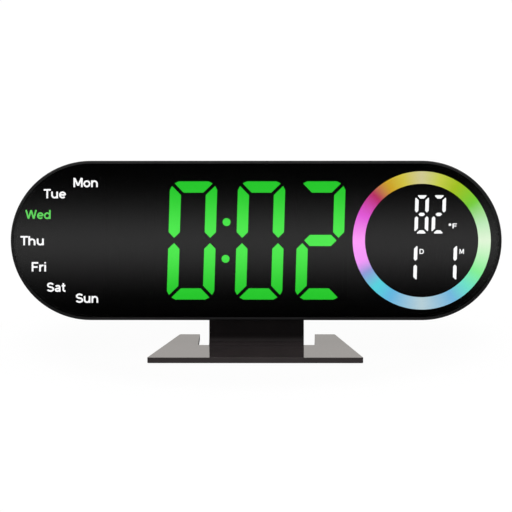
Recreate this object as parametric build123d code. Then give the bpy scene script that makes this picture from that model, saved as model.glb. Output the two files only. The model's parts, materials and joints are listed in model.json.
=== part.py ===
from build123d import *

import os
from math import cos, hypot, radians, sin, sqrt, tan

# A digital LED desk clock: a pill-shaped housing that leans back on a bent plate stand.
# Millimetres, +Z up, the face towards -Y, origin on the table under the middle of the stand.
# The housing is drawn upright about its own centre, where depth 0 is the front of the circuit
# board and depth grows towards the back. It is then leaned back onto the tongue of the stand.

# Big digits of the time
DIGIT_WIDTH = 25.55
DIGIT_HEIGHT = 63.9
DIGIT_STROKE = 6.0
DIGIT_GAP = 2.0
DIGIT_CUT = 1.1
DIGIT_EASE = 2.2
DIGIT_TIP = 1.5
DIGIT_BAR_REACH = 0.3
DIGIT_PITCH = 32.7
COLON_PITCH = 36.9
COLON_DIAMETER = 4.2
COLON_SPACING = 19.9
SLANT = 1.65
SEGMENT_ROUND = 0.2
SEGMENT_DEPTH = 6.0

# Small digits of the temperature and the date, placed from the centre of the ring
SMALL_WIDTH = 7.3
SMALL_HEIGHT = 20.65
SMALL_STROKE = 1.75
SMALL_GAP = 1.3
SMALL_CUT = 0.3
SMALL_EASE = 0.4
SMALL_TIP = 1.05
SMALL_BAR_REACH = -0.25
SMALL_PITCH = 9.25
SMALL_ROUND = 0.2
TEMPERATURE_X = 9.3
TEMPERATURE_Z = 14.1
DAY_X = -6.15
MONTH_X = 15.3
DATE_Z = -12.05

# Light guides behind the unit letters and the weekday words
UNIT_WIDTH = 3.4
UNIT_HEIGHT = 3.6
UNIT_GAP = 0.65
UNIT_SHIFT = 6.1
DEGREE_WIDTH = 6.0
WORD_INSET = 11.6
WORD_HEIGHT = 6.8
WORD_MARGIN = 0.3
GUIDE_LED_GAP = 0.25
# Each weekday with its angle about the centre of the left end and the width of its word
WEEKDAYS = (
    ("mon", 95.0, 13.5),
    ("tue", 128.0, 12.4),
    ("wed", 154.0, 14.1),
    ("thu", 180.5, 13.0),
    ("fri", 207.0, 8.1),
    ("sat", 233.7, 10.3),
    ("sun", 267.0, 12.4),
)

# Colour ring
RING_WIDTH = 6.65
RING_INSET = 5.8
HUB_EDGE = 1.15
TROUGH_WALL = 1.8
TROUGH_FLOOR = 2.6
RING_LED_COUNT = 12
RING_LED_SIZE = 5.0
RING_LED_HEIGHT = 1.6

# Housing
WALL = 2.0
FRONT_WALL = 2.0
BEZEL = 1.5
LEDGE = 1.6
RIM_ROUND = 0.9
CROWN = 3.0
LENS_THICKNESS = 2.0
LENS_GAP = 0.12
TAPE_THICKNESS = 0.2
REFLECTOR_DEPTH = 8.4
BLOCK_MARGIN = 1.0
BLOCK_TO_CARRIER = 1.0
WORDS_TO_DIGITS = 9.45
FIT = 0.1

# Rear cover
COVER_HEIGHT = 3.5
BACK_ROUND = 3.0
LIP_THICKNESS = 1.2
LIP_HEIGHT = 2.0
LIP_GAP = 0.15
VENT_COUNT = 6
VENT_LENGTH = 16.0
VENT_WIDTH = 1.6
VENT_PITCH = 3.4
KEYHOLE_SPACING = 128.0
KEYHOLE_Z = 24.0
KEYHOLE_RADIUS = 4.2
KEYHOLE_SLOT = 4.2
KEYHOLE_RISE = 7.0

# Screws, bosses and the board's posts
BOSS_RADIUS = 3.0
BOSS_WALL_GAP = 0.8
BOSS_WINDOW_GAP = 1.0
BOSS_END_INSET = 4.0
SCREW_RADIUS = 1.3
SCREW_LENGTH = 10.0
SCREW_HEAD_RADIUS = 2.4
SCREW_HEAD_HEIGHT = 1.5
SCREW_HEAD_GAP = 0.25
COVER_BOSS_RADIUS = 3.3
SCREW_FLOOR = 1.6
BOARD_SCREW_RADIUS = 1.0
BOARD_SCREW_LENGTH = 5.0
BOARD_SCREW_HEAD_RADIUS = 1.9
BOARD_SCREW_HEAD_HEIGHT = 1.2
BOARD_POST_RADIUS = 2.4
RECESS_LENGTH = 2.4
RECESS_WIDTH = 0.6
RECESS_DEPTH = 0.7
THREAD_FIT = 0.05
PILOT_EXTRA = 1.0

# Circuit board and what is soldered to it
BOARD_THICKNESS = 1.6
BOARD_GAP = 1.0
BOARD_NOTCH_GAP = 0.4
LED_LENGTH = 1.6
LED_WIDTH = 0.8
LED_HEIGHT = 0.6
CHIP_SIZE = 10.0
CHIP_HEIGHT = 1.6
CHIP_Z = -6.0
DRIVER_LENGTH = 10.2
DRIVER_WIDTH = 6.0
DRIVER_HEIGHT = 1.8
DRIVER_X = 28.0
CRYSTAL_LENGTH = 10.0
CRYSTAL_WIDTH = 4.2
CRYSTAL_HEIGHT = 3.0
CRYSTAL_X = 13.0
CAPACITOR_RADIUS = 3.15
CAPACITOR_HEIGHT = 6.5
CAPACITOR_PITCH = 8.0
BUZZER_RADIUS = 6.0
BUZZER_HEIGHT = 5.5
BUZZER_HOLE_RADIUS = 1.2
BUZZER_HOLE_DEPTH = 2.0
BUZZER_X = 4.0
BUZZER_Z = -15.0
SOUND_HOLE_RADIUS = 0.8
SOUND_HOLE_CIRCLE = 3.2
SOUND_HOLE_COUNT = 6
SENSOR_RADIUS = 1.2
SENSOR_LEG_RADIUS = 0.3
SENSOR_LEG_PITCH = 1.3
SENSOR_X = 12.0
SENSOR_Z = 14.0
SENSOR_COVER_GAP = 0.6

# Power socket
POWER_X = 62.0
POWER_Z = -12.0
POWER_WIDTH = 9.0
POWER_HEIGHT = 3.3
POWER_SHELL = 0.3
POWER_RECESS = 0.5
POWER_MOUTH_DEPTH = 6.2
POWER_TONGUE_WIDTH = 6.7
POWER_TONGUE_HEIGHT = 0.7
POWER_TONGUE_RECESS = 0.8
POWER_HOLE_GAP = 0.25

# Rear buttons and their switches
BUTTON_NAMES = ("mode", "set", "up", "down", "alarm")
BUTTON_PITCH = 16.0
BUTTON_X = -10.0
BUTTON_Z = 20.0
BUTTON_RADIUS = 4.0
BUTTON_GAP = 0.2
BUTTON_RISE = 1.4
BUTTON_ROUND = 0.5
BUTTON_TRAVEL = 0.6
FLANGE_WIDTH = 1.2
FLANGE_THICKNESS = 1.0
FLANGE_GAP = 0.1
STEM_RADIUS = 1.6
STEM_LENGTH = 0.5
SWITCH_SIZE = 6.0
SWITCH_HEIGHT = 3.5
PLUNGER_RADIUS = 1.75
PLUNGER_GAP = 0.15
PLUNGER_DEPTH = 1.2
PLUNGER_FLOOR_GAP = 0.3

# Memory battery and its door
BATTERY_X = 0.0
BATTERY_Z = -2.0
CELL_RADIUS = 10.0
CELL_THICKNESS = 3.2
CELL_STEP = 0.6
CELL_GAP = 0.4
CONTACT_THICKNESS = 0.3
CONTACT_WIDTH = 4.0
CONTACT_REACH = 8.0
CONTACT_GRIP = 2.2
CONTACT_SLOT_GAP = 0.2
DOOR_THICKNESS = 1.4
DOOR_GAP = 0.2
SKIRT_THICKNESS = 1.8
SKIRT_CELL_GAP = 1.5
LUG_REACH = 1.5
LUG_THICKNESS = 1.0
LUG_GAP = 0.15
LUG_HALF_ANGLE = 18.0
NOTCH_SIDE_ANGLE = 3.0
DOOR_TURN = 45.0
COIN_SLOT_LENGTH = 16.0
COIN_SLOT_WIDTH = 2.4
COIN_SLOT_DEPTH = 0.7
CUP_WALL = 1.2

# Stand
TILT = 10.0
PLATE_THICKNESS = 3.0
PLATE_DEPTH = 66.8
PLATE_FRONT_WIDTH = 116.4
PLATE_REAR_WIDTH = 85.4
PLATE_CORNER = 1.2
PLATE_EDGE = 0.25
NOTCH_WIDTH = 63.2
NOTCH_DEPTH = 30.95
NOTCH_CORNER = 0.8
TONGUE_WIDTH = 51.5
TONGUE_RISE = 7.15
TONGUE_INSERT = 13.0
BEND_RADIUS = 6.5
SLOT_GAP = 0.2
SOCKET_WALL = 1.5
SOCKET_BOARD_GAP = 0.8
PARTING_MARGIN = 0.4
PAD_THICKNESS = 1.0
PAD_RADIUS = 4.5
PAD_INSET = 10.5

# The face: its height follows the taller of the digits with the bosses above them and the ring round
# the calendar, and its length follows the row
SLOPE = tan(radians(SLANT))
FRAME_STRIP = WALL + BOSS_WALL_GAP + 2 * BOSS_RADIUS + BOSS_WINDOW_GAP + FIT + BLOCK_MARGIN
SMALL_LEAN = SMALL_HEIGHT / 2 * SLOPE
DATE_REACH = max(SMALL_PITCH - DAY_X, MONTH_X) + SMALL_WIDTH / 2 + SMALL_LEAN
HUB_LEAST = hypot(DATE_REACH, SMALL_HEIGHT / 2 - DATE_Z) + HUB_EDGE
END_RADIUS = max(DIGIT_HEIGHT / 2 + FRAME_STRIP, HUB_LEAST + RING_WIDTH + RING_INSET)
BODY_HEIGHT = 2 * END_RADIUS
RING_OUTER = END_RADIUS - RING_INSET
RING_INNER = RING_OUTER - RING_WIDTH
DIGIT_LEAN = DIGIT_HEIGHT / 2 * SLOPE
DIGITS_TO_RING = DIGIT_LEAN + BLOCK_MARGIN + BLOCK_TO_CARRIER + TROUGH_WALL
ROW_WIDTH = 2 * DIGIT_PITCH + COLON_PITCH + DIGIT_WIDTH
SPAN = WORDS_TO_DIGITS + ROW_WIDTH + DIGITS_TO_RING + RING_OUTER
BODY_LENGTH = SPAN + BODY_HEIGHT
END_X = SPAN / 2
MINUTE_X = END_X - RING_OUTER - DIGITS_TO_RING - DIGIT_WIDTH / 2
MINUTE_TENS_X = MINUTE_X - DIGIT_PITCH
HOUR_X = MINUTE_TENS_X - COLON_PITCH
HOUR_TENS_X = HOUR_X - DIGIT_PITCH
COLON_X = (HOUR_X + MINUTE_TENS_X) / 2
BLOCK_X = (HOUR_TENS_X + MINUTE_X) / 2
BLOCK_WIDTH = ROW_WIDTH + 2 * (DIGIT_LEAN + BLOCK_MARGIN)
BLOCK_HEIGHT = DIGIT_HEIGHT + 2 * BLOCK_MARGIN
CARRIER_RADIUS = RING_OUTER + FIT + TROUGH_WALL
WORD_RADIUS = END_RADIUS - WORD_INSET

# Depths in the housing
DISPLAY_FACE = -REFLECTOR_DEPTH
WALL_BACK = DISPLAY_FACE + FRONT_WALL
SEGMENT_BACK = DISPLAY_FACE + SEGMENT_DEPTH
CREST = DISPLAY_FACE - LENS_THICKNESS - CROWN
CROWN_RADIUS = (END_RADIUS**2 + CROWN**2) / (2 * CROWN)
BOARD_BACK = BOARD_THICKNESS
SOCKET_FRONT = BOARD_BACK + SOCKET_BOARD_GAP
TONGUE_FRONT = SOCKET_FRONT + SOCKET_WALL + SLOT_GAP
TONGUE_BACK = TONGUE_FRONT + PLATE_THICKNESS
SOCKET_BACK = TONGUE_BACK + SLOT_GAP + SOCKET_WALL
PARTING = SOCKET_BACK + PARTING_MARGIN
REAR_FACE = PARTING + COVER_HEIGHT
REAR_INNER = REAR_FACE - WALL
SCREW_SEAT = PARTING + SCREW_FLOOR
FLANGE_BACK = REAR_INNER - FLANGE_GAP
FLANGE_FRONT = FLANGE_BACK - FLANGE_THICKNESS
PLUNGER_BACK = FLANGE_FRONT - STEM_LENGTH
SWITCH_BACK = BOARD_BACK + SWITCH_HEIGHT
DOOR_FRONT = REAR_FACE - DOOR_THICKNESS
CELL_BACK = DOOR_FRONT - CELL_GAP
CELL_FRONT = CELL_BACK - CELL_THICKNESS
CUP_FLOOR = CELL_FRONT - CONTACT_THICKNESS
LUG_BACK = REAR_INNER - LUG_GAP
LUG_FRONT = LUG_BACK - LUG_THICKNESS
POWER_MOUTH = REAR_FACE - POWER_RECESS
SENSOR_DEPTH = REAR_INNER - SENSOR_COVER_GAP - SENSOR_RADIUS

# Places on the board and on the back
SOCKET_HALF = TONGUE_WIDTH / 2 + SLOT_GAP + SOCKET_WALL
SOCKET_ROOF = TONGUE_INSERT - END_RADIUS
BOSS_Z = END_RADIUS - WALL - BOSS_WALL_GAP - BOSS_RADIUS
BOSS_LEFT = BLOCK_X - BLOCK_WIDTH / 2 + BOSS_END_INSET
BOSS_RIGHT = BLOCK_X + BLOCK_WIDTH / 2
BOSS_LOW = SOCKET_HALF + COVER_BOSS_RADIUS + 2 * BOARD_POST_RADIUS
BOSS_POINTS = (
    (BOSS_LEFT, BOSS_Z),
    (BLOCK_X, BOSS_Z),
    (BOSS_RIGHT, BOSS_Z),
    (BOSS_LEFT, -BOSS_Z),
    (-BOSS_LOW, -BOSS_Z),
    (BOSS_LOW, -BOSS_Z),
)
POST_RIGHT = BOSS_LOW + BOSS_RADIUS + 2 * BOARD_POST_RADIUS
POST_POINTS = (
    ((BOSS_LEFT + BLOCK_X) / 2, BOSS_Z),
    ((BLOCK_X + BOSS_RIGHT) / 2, BOSS_Z),
    ((BOSS_LEFT - BOSS_LOW) / 2, -BOSS_Z),
    (POST_RIGHT, -BOSS_Z),
)
BUTTON_POINTS = tuple(
    (BUTTON_X + BUTTON_PITCH * (number - (len(BUTTON_NAMES) - 1) / 2), BUTTON_Z)
    for number in range(len(BUTTON_NAMES))
)
CELL_X = BATTERY_X - END_X
DOOR_RADIUS = CELL_RADIUS + SKIRT_CELL_GAP + SKIRT_THICKNESS + DOOR_GAP
CUP_RADIUS = DOOR_RADIUS + LUG_REACH + DOOR_GAP


def pill(inset):
    """The outline of the housing, drawn in by an inset."""
    return SlotOverall(BODY_LENGTH - 2 * inset, BODY_HEIGHT - 2 * inset)


def slab(outline, front, back):
    """An outline in X and Z, thickened from one depth to another."""
    return extrude(Plane.XZ.offset(-back) * outline, amount=back - front)


def disc(x, z, radius, front, back):
    """A round bar along the depth."""
    return slab(Pos(x, z) * Circle(radius), front, back)


def bar(x, z, width, height, front, back):
    """A rectangular block along the depth."""
    return slab(Pos(x, z) * Rectangle(width, height), front, back)


def behind_crown(depth):
    """All that lies behind the crowned front surface, moved back by a depth."""
    centre = Pos(0, CREST + CROWN_RADIUS, 0)
    return centre * Cylinder(CROWN_RADIUS - depth, 2 * BODY_LENGTH, rotation=(0, 90, 0))


def group(solids):
    """Several separate solids as one node."""
    return Compound(list(solids))


def polygon(points):
    """A face through points in either order, facing the front."""
    area = 0
    for (x0, z0), (x1, z1) in zip(points, points[1:] + points[:1]):
        area += x0 * z1 - x1 * z0
    return Polygon(*(points if area > 0 else points[::-1]))


def segment_points(width, height, stroke, gap, cut, ease, tip, bar_reach):
    """The corners of the seven segments of a digit about its centre, before it is slanted."""
    side = width / 2
    top = height / 2
    shift = gap / sqrt(2)
    bar_end = side - stroke / 2 - gap * sqrt(2) + tip + bar_reach
    left_of_a = [
        (shift + stroke - side, top - stroke),
        (shift + cut - side, top - cut),
        (shift + cut + ease - side, top),
    ]
    a = left_of_a + [(-x, z) for x, z in left_of_a[::-1]]
    f = [
        (stroke - side, top - stroke - shift),
        (cut - side, top - cut - shift),
        (-side, top - cut - shift - ease),
        (-side, tip + stroke / 2),
        (stroke / 2 - side, tip),
        (stroke - side, tip + stroke / 2),
    ]
    left_of_g = [
        (stroke / 2 - bar_end, -stroke / 2),
        (-bar_end, 0),
        (stroke / 2 - bar_end, stroke / 2),
    ]
    return {
        "a": a,
        "b": [(-x, z) for x, z in f],
        "c": [(-x, -z) for x, z in f],
        "d": [(x, -z) for x, z in a],
        "e": [(x, -z) for x, z in f],
        "f": f,
        "g": left_of_g + [(-x, z) for x, z in left_of_g[::-1]],
    }


BIG = segment_points(
    DIGIT_WIDTH, DIGIT_HEIGHT, DIGIT_STROKE, DIGIT_GAP, DIGIT_CUT, DIGIT_EASE, DIGIT_TIP, DIGIT_BAR_REACH
)
SMALL = segment_points(
    SMALL_WIDTH, SMALL_HEIGHT, SMALL_STROKE, SMALL_GAP, SMALL_CUT, SMALL_EASE, SMALL_TIP, SMALL_BAR_REACH
)
ALL_SEGMENTS = "abcdefg"


def faces_of(style, round_radius, letters, x, z):
    """The slanted outlines of some segments of one digit."""
    outlines = []
    for letter in letters:
        face = polygon([(px + pz * SLOPE, pz) for px, pz in style[letter]])
        outlines.append(Pos(x, z) * fillet(face.vertices(), round_radius))
    return outlines


def unlit(letters):
    """The segments of a digit that a lit set leaves dark."""
    return [letter for letter in ALL_SEGMENTS if letter not in letters]


# Each digit with its place and the segments that are lit at the time shown, 0:02
BIG_DIGITS = (
    ("hour_tens", HOUR_TENS_X, ""),
    ("hour", HOUR_X, "abcdef"),
    ("minute_tens", MINUTE_TENS_X, "abcdef"),
    ("minute", MINUTE_X, "abged"),
)
# The temperature shows 82, the day 1 and the month 1
TEMPERATURE_DIGITS = (
    (TEMPERATURE_X - SMALL_PITCH, TEMPERATURE_Z, "abcdefg"),
    (TEMPERATURE_X, TEMPERATURE_Z, "abged"),
)
DATE_DIGITS = (
    (DAY_X - SMALL_PITCH, DATE_Z, ""),
    (DAY_X, DATE_Z, "bc"),
    (MONTH_X - SMALL_PITCH, DATE_Z, ""),
    (MONTH_X, DATE_Z, "bc"),
)
UNIT_STEP = SMALL_WIDTH / 2 + UNIT_GAP
UNIT_GUIDES = (
    (
        "degree",
        TEMPERATURE_X + UNIT_STEP + DEGREE_WIDTH / 2,
        TEMPERATURE_Z - UNIT_SHIFT,
        DEGREE_WIDTH,
    ),
    ("day", DAY_X + UNIT_STEP + UNIT_WIDTH / 2, DATE_Z + UNIT_SHIFT, UNIT_WIDTH),
    ("month", MONTH_X + UNIT_STEP + UNIT_WIDTH / 2, DATE_Z + UNIT_SHIFT, UNIT_WIDTH),
)


def big_faces(letters_of):
    """Outlines in all four big digits, with the letters chosen by a function of the lit ones."""
    outlines = []
    for _, x, lit in BIG_DIGITS:
        outlines += faces_of(BIG, SEGMENT_ROUND, letters_of(lit), x, 0)
    return outlines


def small_faces(digits, letters_of):
    """Outlines in a set of small digits, with the letters chosen by a function of the lit ones."""
    outlines = []
    for x, z, lit in digits:
        outlines += faces_of(SMALL, SMALL_ROUND, letters_of(lit), END_X + x, z)
    return outlines


def pipes(outlines):
    """Light pipes that fill their wells from the display's face."""
    return group(slab(outline, DISPLAY_FACE, SEGMENT_BACK) for outline in outlines)


def colon_faces():
    """The two dots of the colon, on the slant of the digits."""
    dots = []
    for z in (COLON_SPACING / 2, -COLON_SPACING / 2):
        dots.append(Pos(COLON_X + z * SLOPE, z) * Circle(COLON_DIAMETER / 2))
    return dots


def with_room(outlines):
    """The same outlines, wider all round by the fit."""
    return [offset(outline, amount=FIT) for outline in outlines]


def digit_reflector():
    """The block behind the big digits, with a well for each segment."""
    face = Pos(BLOCK_X, 0) * Rectangle(BLOCK_WIDTH, BLOCK_HEIGHT)
    wells = with_room(big_faces(lambda lit: ALL_SEGMENTS) + colon_faces())
    return slab(face - wells, DISPLAY_FACE, 0)


def ring_led_places():
    """Centres and angles of the LEDs under the ring."""
    radius = (RING_OUTER + RING_INNER) / 2
    places = []
    for number in range(RING_LED_COUNT):
        angle = 360 * number / RING_LED_COUNT
        x = END_X + radius * cos(radians(angle))
        places.append((x, radius * sin(radians(angle)), angle))
    return places


def ring_led_outlines(size):
    """Squares at the ring's LEDs, turned with the ring."""
    return [Pos(x, z) * Rot(0, 0, angle) * Rectangle(size, size) for x, z, angle in ring_led_places()]


def unit_outline(x, z, width, room):
    """The window of one unit letter."""
    return Pos(END_X + x, z) * Rectangle(width + 2 * room, UNIT_HEIGHT + 2 * room)


def ring_carrier():
    """A trough for the ring, round a hub that holds the small digits and the unit letters."""
    floor_front = -TROUGH_FLOOR
    hub = Pos(END_X, 0) * Circle(RING_INNER - FIT)
    wells = with_room(small_faces(TEMPERATURE_DIGITS + DATE_DIGITS, lambda lit: ALL_SEGMENTS))
    wells += [unit_outline(x, z, width, FIT) for _, x, z, width in UNIT_GUIDES]
    floor = Pos(END_X, 0) * Circle(CARRIER_RADIUS) - hub - ring_led_outlines(RING_LED_SIZE + 4 * FIT)
    wall = Pos(END_X, 0) * (Circle(CARRIER_RADIUS) - Circle(RING_OUTER + FIT))
    return slab(hub - wells, DISPLAY_FACE, 0) + slab(floor, floor_front, 0) + slab(wall, WALL_BACK, 0)


def ring_light_guide():
    """The milky ring, seated on the floor of its trough."""
    ring = Pos(END_X, 0) * (Circle(RING_OUTER) - Circle(RING_INNER))
    return slab(ring, DISPLAY_FACE, -TROUGH_FLOOR)


def word_outline(angle, width, room):
    """The window of one weekday, kept inside the ledge of the lens."""
    x = WORD_RADIUS * cos(radians(angle)) - END_X
    z = WORD_RADIUS * sin(radians(angle))
    room_all = WORD_MARGIN + room
    window = Pos(x, z) * Rectangle(width + 2 * room_all, WORD_HEIGHT + 2 * room)
    return window & pill(BEZEL + LEDGE + WORD_MARGIN - room)


def front_housing():
    """The shell with its rim, lens ledge, front wall, bosses and stand socket."""
    shell = slab(pill(0), CREST - CROWN, PARTING) & behind_crown(0)
    rim = [edge for edge in shell.edges() if edge.bounding_box().max.Y < DISPLAY_FACE - LENS_THICKNESS / 2]
    shell = fillet(rim, RIM_ROUND)
    pocket = slab(pill(BEZEL), CREST - CROWN, WALL_BACK)
    shell -= pocket - behind_crown(LENS_THICKNESS + TAPE_THICKNESS)
    shell -= slab(pill(BEZEL + LEDGE), CREST - CROWN, DISPLAY_FACE)
    shell -= slab(pill(WALL), WALL_BACK, PARTING)

    windows = [Pos(BLOCK_X, 0) * Rectangle(BLOCK_WIDTH + 2 * FIT, BLOCK_HEIGHT + 2 * FIT)]
    windows.append(Pos(END_X, 0) * Circle(RING_OUTER + FIT))
    windows += [word_outline(angle, width, FIT) for _, angle, width in WEEKDAYS]
    for window in windows:
        shell -= slab(window, DISPLAY_FACE, WALL_BACK)

    half_wall = FRONT_WALL / 2
    for x, z in BOSS_POINTS:
        shell += disc(x, z, BOSS_RADIUS, WALL_BACK - half_wall, PARTING)
        pilot = SCREW_SEAT - SCREW_LENGTH - PILOT_EXTRA
        shell -= disc(x, z, SCREW_RADIUS + THREAD_FIT, pilot, PARTING)
    for x, z in POST_POINTS:
        shell += disc(x, z, BOARD_POST_RADIUS, WALL_BACK - half_wall, 0)
        pilot = BOARD_BACK - BOARD_SCREW_LENGTH - PILOT_EXTRA
        shell -= disc(x, z, BOARD_SCREW_RADIUS + THREAD_FIT, pilot, 0)

    roof = SOCKET_ROOF + SOCKET_WALL
    foot = -END_RADIUS + WALL / 2
    shell += bar(0, (roof + foot) / 2, 2 * SOCKET_HALF, roof - foot, SOCKET_FRONT, SOCKET_BACK)
    slot_foot = -END_RADIUS - WALL
    slot_width = TONGUE_WIDTH + 2 * SLOT_GAP
    slot_middle = (SOCKET_ROOF + slot_foot) / 2
    slot_height = SOCKET_ROOF - slot_foot
    shell -= bar(0, slot_middle, slot_width, slot_height, TONGUE_FRONT - SLOT_GAP, TONGUE_BACK + SLOT_GAP)
    return shell


def front_lens():
    """The smoked window, crowned about its long axis, flush with the rim."""
    blank = slab(pill(BEZEL + LENS_GAP), CREST - CROWN, WALL_BACK)
    return (blank & behind_crown(0)) - behind_crown(LENS_THICKNESS)


def lens_adhesive():
    """The tape between the window and its ledge."""
    ring = slab(pill(BEZEL + LENS_GAP) - pill(BEZEL + LEDGE), CREST - CROWN, WALL_BACK)
    return (ring & behind_crown(LENS_THICKNESS)) - behind_crown(LENS_THICKNESS + TAPE_THICKNESS)


def main_board():
    """The circuit board, notched round the bosses and drilled for its screws."""
    outline = pill(WALL + BOARD_GAP)
    for x, z in BOSS_POINTS:
        outline -= Pos(x, z) * Circle(BOSS_RADIUS + BOARD_NOTCH_GAP)
    for x, z in POST_POINTS:
        outline -= Pos(x, z) * Circle(BOARD_SCREW_RADIUS + FIT)
    return slab(outline, 0, BOARD_BACK)


def screw(x, z, seat, radius, length, head_radius, head_height):
    """A pan-head screw along the depth with a cross recess, its head on the seat."""
    body = disc(x, z, radius, seat - length, seat) + disc(x, z, head_radius, seat, seat + head_height)
    cross = Rectangle(RECESS_LENGTH, RECESS_WIDTH) + Rectangle(RECESS_WIDTH, RECESS_LENGTH)
    return body - slab(Pos(x, z) * cross, seat + head_height - RECESS_DEPTH, seat + head_height)


def rear_cover_screws():
    """The screws that close the housing."""
    size = (SCREW_SEAT, SCREW_RADIUS, SCREW_LENGTH, SCREW_HEAD_RADIUS, SCREW_HEAD_HEIGHT)
    return group(screw(x, z, *size) for x, z in BOSS_POINTS)


def board_screws():
    """The screws that hold the board on its posts."""
    head = (BOARD_SCREW_HEAD_RADIUS, BOARD_SCREW_HEAD_HEIGHT)
    size = (BOARD_BACK, BOARD_SCREW_RADIUS, BOARD_SCREW_LENGTH, *head)
    return group(screw(x, z, *size) for x, z in POST_POINTS)


def led(x, z, upright):
    """One small LED on the front of the board."""
    size = (LED_WIDTH, LED_LENGTH) if upright else (LED_LENGTH, LED_WIDTH)
    return bar(x, z, *size, -LED_HEIGHT, 0)


def segment_middle(style, letter):
    """The middle of a segment, on the slant."""
    points = style[letter]
    x = sum(px for px, _ in points) / len(points)
    z = sum(pz for _, pz in points) / len(points)
    return x + z * SLOPE, z


def digit_leds():
    """Two LEDs in each well of the big digits, and one behind each dot."""
    solids = []
    for _, x, _ in BIG_DIGITS:
        for letter in ALL_SEGMENTS:
            upright = letter in "bcef"
            mx, mz = segment_middle(BIG, letter)
            for side in (-LED_LENGTH, LED_LENGTH):
                dx = side * SLOPE if upright else side
                dz = side if upright else 0
                solids.append(led(x + mx + dx, mz + dz, upright))
    for z in (COLON_SPACING / 2, -COLON_SPACING / 2):
        solids.append(led(COLON_X + z * SLOPE, z, False))
    return group(solids)


def calendar_leds():
    """One LED in each well of the small digits and behind each unit letter."""
    solids = []
    for x, z, _ in TEMPERATURE_DIGITS + DATE_DIGITS:
        for letter in ALL_SEGMENTS:
            mx, mz = segment_middle(SMALL, letter)
            solids.append(led(END_X + x + mx, z + mz, letter in "bcef"))
    for _, x, z, _ in UNIT_GUIDES:
        solids.append(led(END_X + x, z, False))
    return group(solids)


def weekday_leds():
    """One LED behind each weekday."""
    solids = []
    for _, angle, _ in WEEKDAYS:
        x = WORD_RADIUS * cos(radians(angle)) - END_X
        solids.append(led(x, WORD_RADIUS * sin(radians(angle)), False))
    return group(solids)


def ring_leds():
    """The colour LEDs under the ring."""
    return group(slab(outline, -RING_LED_HEIGHT, 0) for outline in ring_led_outlines(RING_LED_SIZE))


def led_drivers():
    """Two driver chips beside the controller."""
    size = (DRIVER_LENGTH, DRIVER_WIDTH, BOARD_BACK, BOARD_BACK + DRIVER_HEIGHT)
    return group(bar(x, CHIP_Z, *size) for x in (-DRIVER_X, DRIVER_X))


def crystal():
    """The can of the clock crystal."""
    outline = Pos(CRYSTAL_X, CHIP_Z) * SlotOverall(CRYSTAL_LENGTH, CRYSTAL_WIDTH)
    return slab(outline, BOARD_BACK, BOARD_BACK + CRYSTAL_HEIGHT)


def capacitors():
    """Two smoothing capacitors above the power socket."""
    z = POWER_Z + POWER_HEIGHT + 2 * CAPACITOR_RADIUS
    xs = (POWER_X - CAPACITOR_PITCH / 2, POWER_X + CAPACITOR_PITCH / 2)
    return group(disc(x, z, CAPACITOR_RADIUS, BOARD_BACK, BOARD_BACK + CAPACITOR_HEIGHT) for x in xs)


def buzzer():
    """The buzzer, with its sound hole towards the back."""
    back = BOARD_BACK + BUZZER_HEIGHT
    x = END_X + BUZZER_X
    body = disc(x, BUZZER_Z, BUZZER_RADIUS, BOARD_BACK, back)
    return body - disc(x, BUZZER_Z, BUZZER_HOLE_RADIUS, back - BUZZER_HOLE_DEPTH, back)


def temperature_sensor():
    """A bead on two legs, just inside the vents."""
    x = END_X + SENSOR_X
    sensor = Pos(x, SENSOR_DEPTH, SENSOR_Z) * Sphere(SENSOR_RADIUS)
    for side in (-SENSOR_LEG_PITCH / 2, SENSOR_LEG_PITCH / 2):
        sensor += disc(x + side, SENSOR_Z, SENSOR_LEG_RADIUS, BOARD_BACK, SENSOR_DEPTH)
    return sensor


def power_outline(inset):
    """The outline of the power socket, drawn in by an inset."""
    return Pos(POWER_X, POWER_Z) * SlotOverall(POWER_WIDTH - 2 * inset, POWER_HEIGHT - 2 * inset)


def power_socket_shell():
    """The metal tube of the power socket, standing on the board."""
    return slab(power_outline(0) - power_outline(POWER_SHELL), BOARD_BACK, POWER_MOUTH)


def power_socket_insert():
    """The plug of insulator in the tube, with the contact tongue."""
    floor = POWER_MOUTH - POWER_MOUTH_DEPTH
    plug = slab(power_outline(POWER_SHELL + THREAD_FIT), BOARD_BACK, floor)
    tongue_back = POWER_MOUTH - POWER_TONGUE_RECESS
    return plug + bar(POWER_X, POWER_Z, POWER_TONGUE_WIDTH, POWER_TONGUE_HEIGHT, floor, tongue_back)


def tact_switches():
    """The switch bodies under the buttons, each bored for its plunger."""
    solids = []
    bore_front = SWITCH_BACK - PLUNGER_DEPTH - BUTTON_TRAVEL - PLUNGER_FLOOR_GAP
    for x, z in BUTTON_POINTS:
        body = bar(x, z, SWITCH_SIZE, SWITCH_SIZE, BOARD_BACK, SWITCH_BACK)
        solids.append(body - disc(x, z, PLUNGER_RADIUS + PLUNGER_GAP, bore_front, SWITCH_BACK))
    return group(solids)


def switch_plunger(x, z):
    """The plunger of one switch, up to the stem of its button."""
    return disc(x, z, PLUNGER_RADIUS, SWITCH_BACK - PLUNGER_DEPTH, PLUNGER_BACK)


def rear_button(x, z):
    """A round cap with a flange that keeps it in the cover and a stem on its switch."""
    top = REAR_FACE + BUTTON_RISE
    cap = disc(x, z, BUTTON_RADIUS, FLANGE_BACK, top)
    cap = fillet(cap.faces().sort_by(Axis.Y)[-1].edges(), BUTTON_ROUND)
    flange = disc(x, z, BUTTON_RADIUS + FLANGE_WIDTH, FLANGE_FRONT, FLANGE_BACK)
    return cap + flange + disc(x, z, STEM_RADIUS, PLUNGER_BACK, FLANGE_FRONT)


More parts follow.
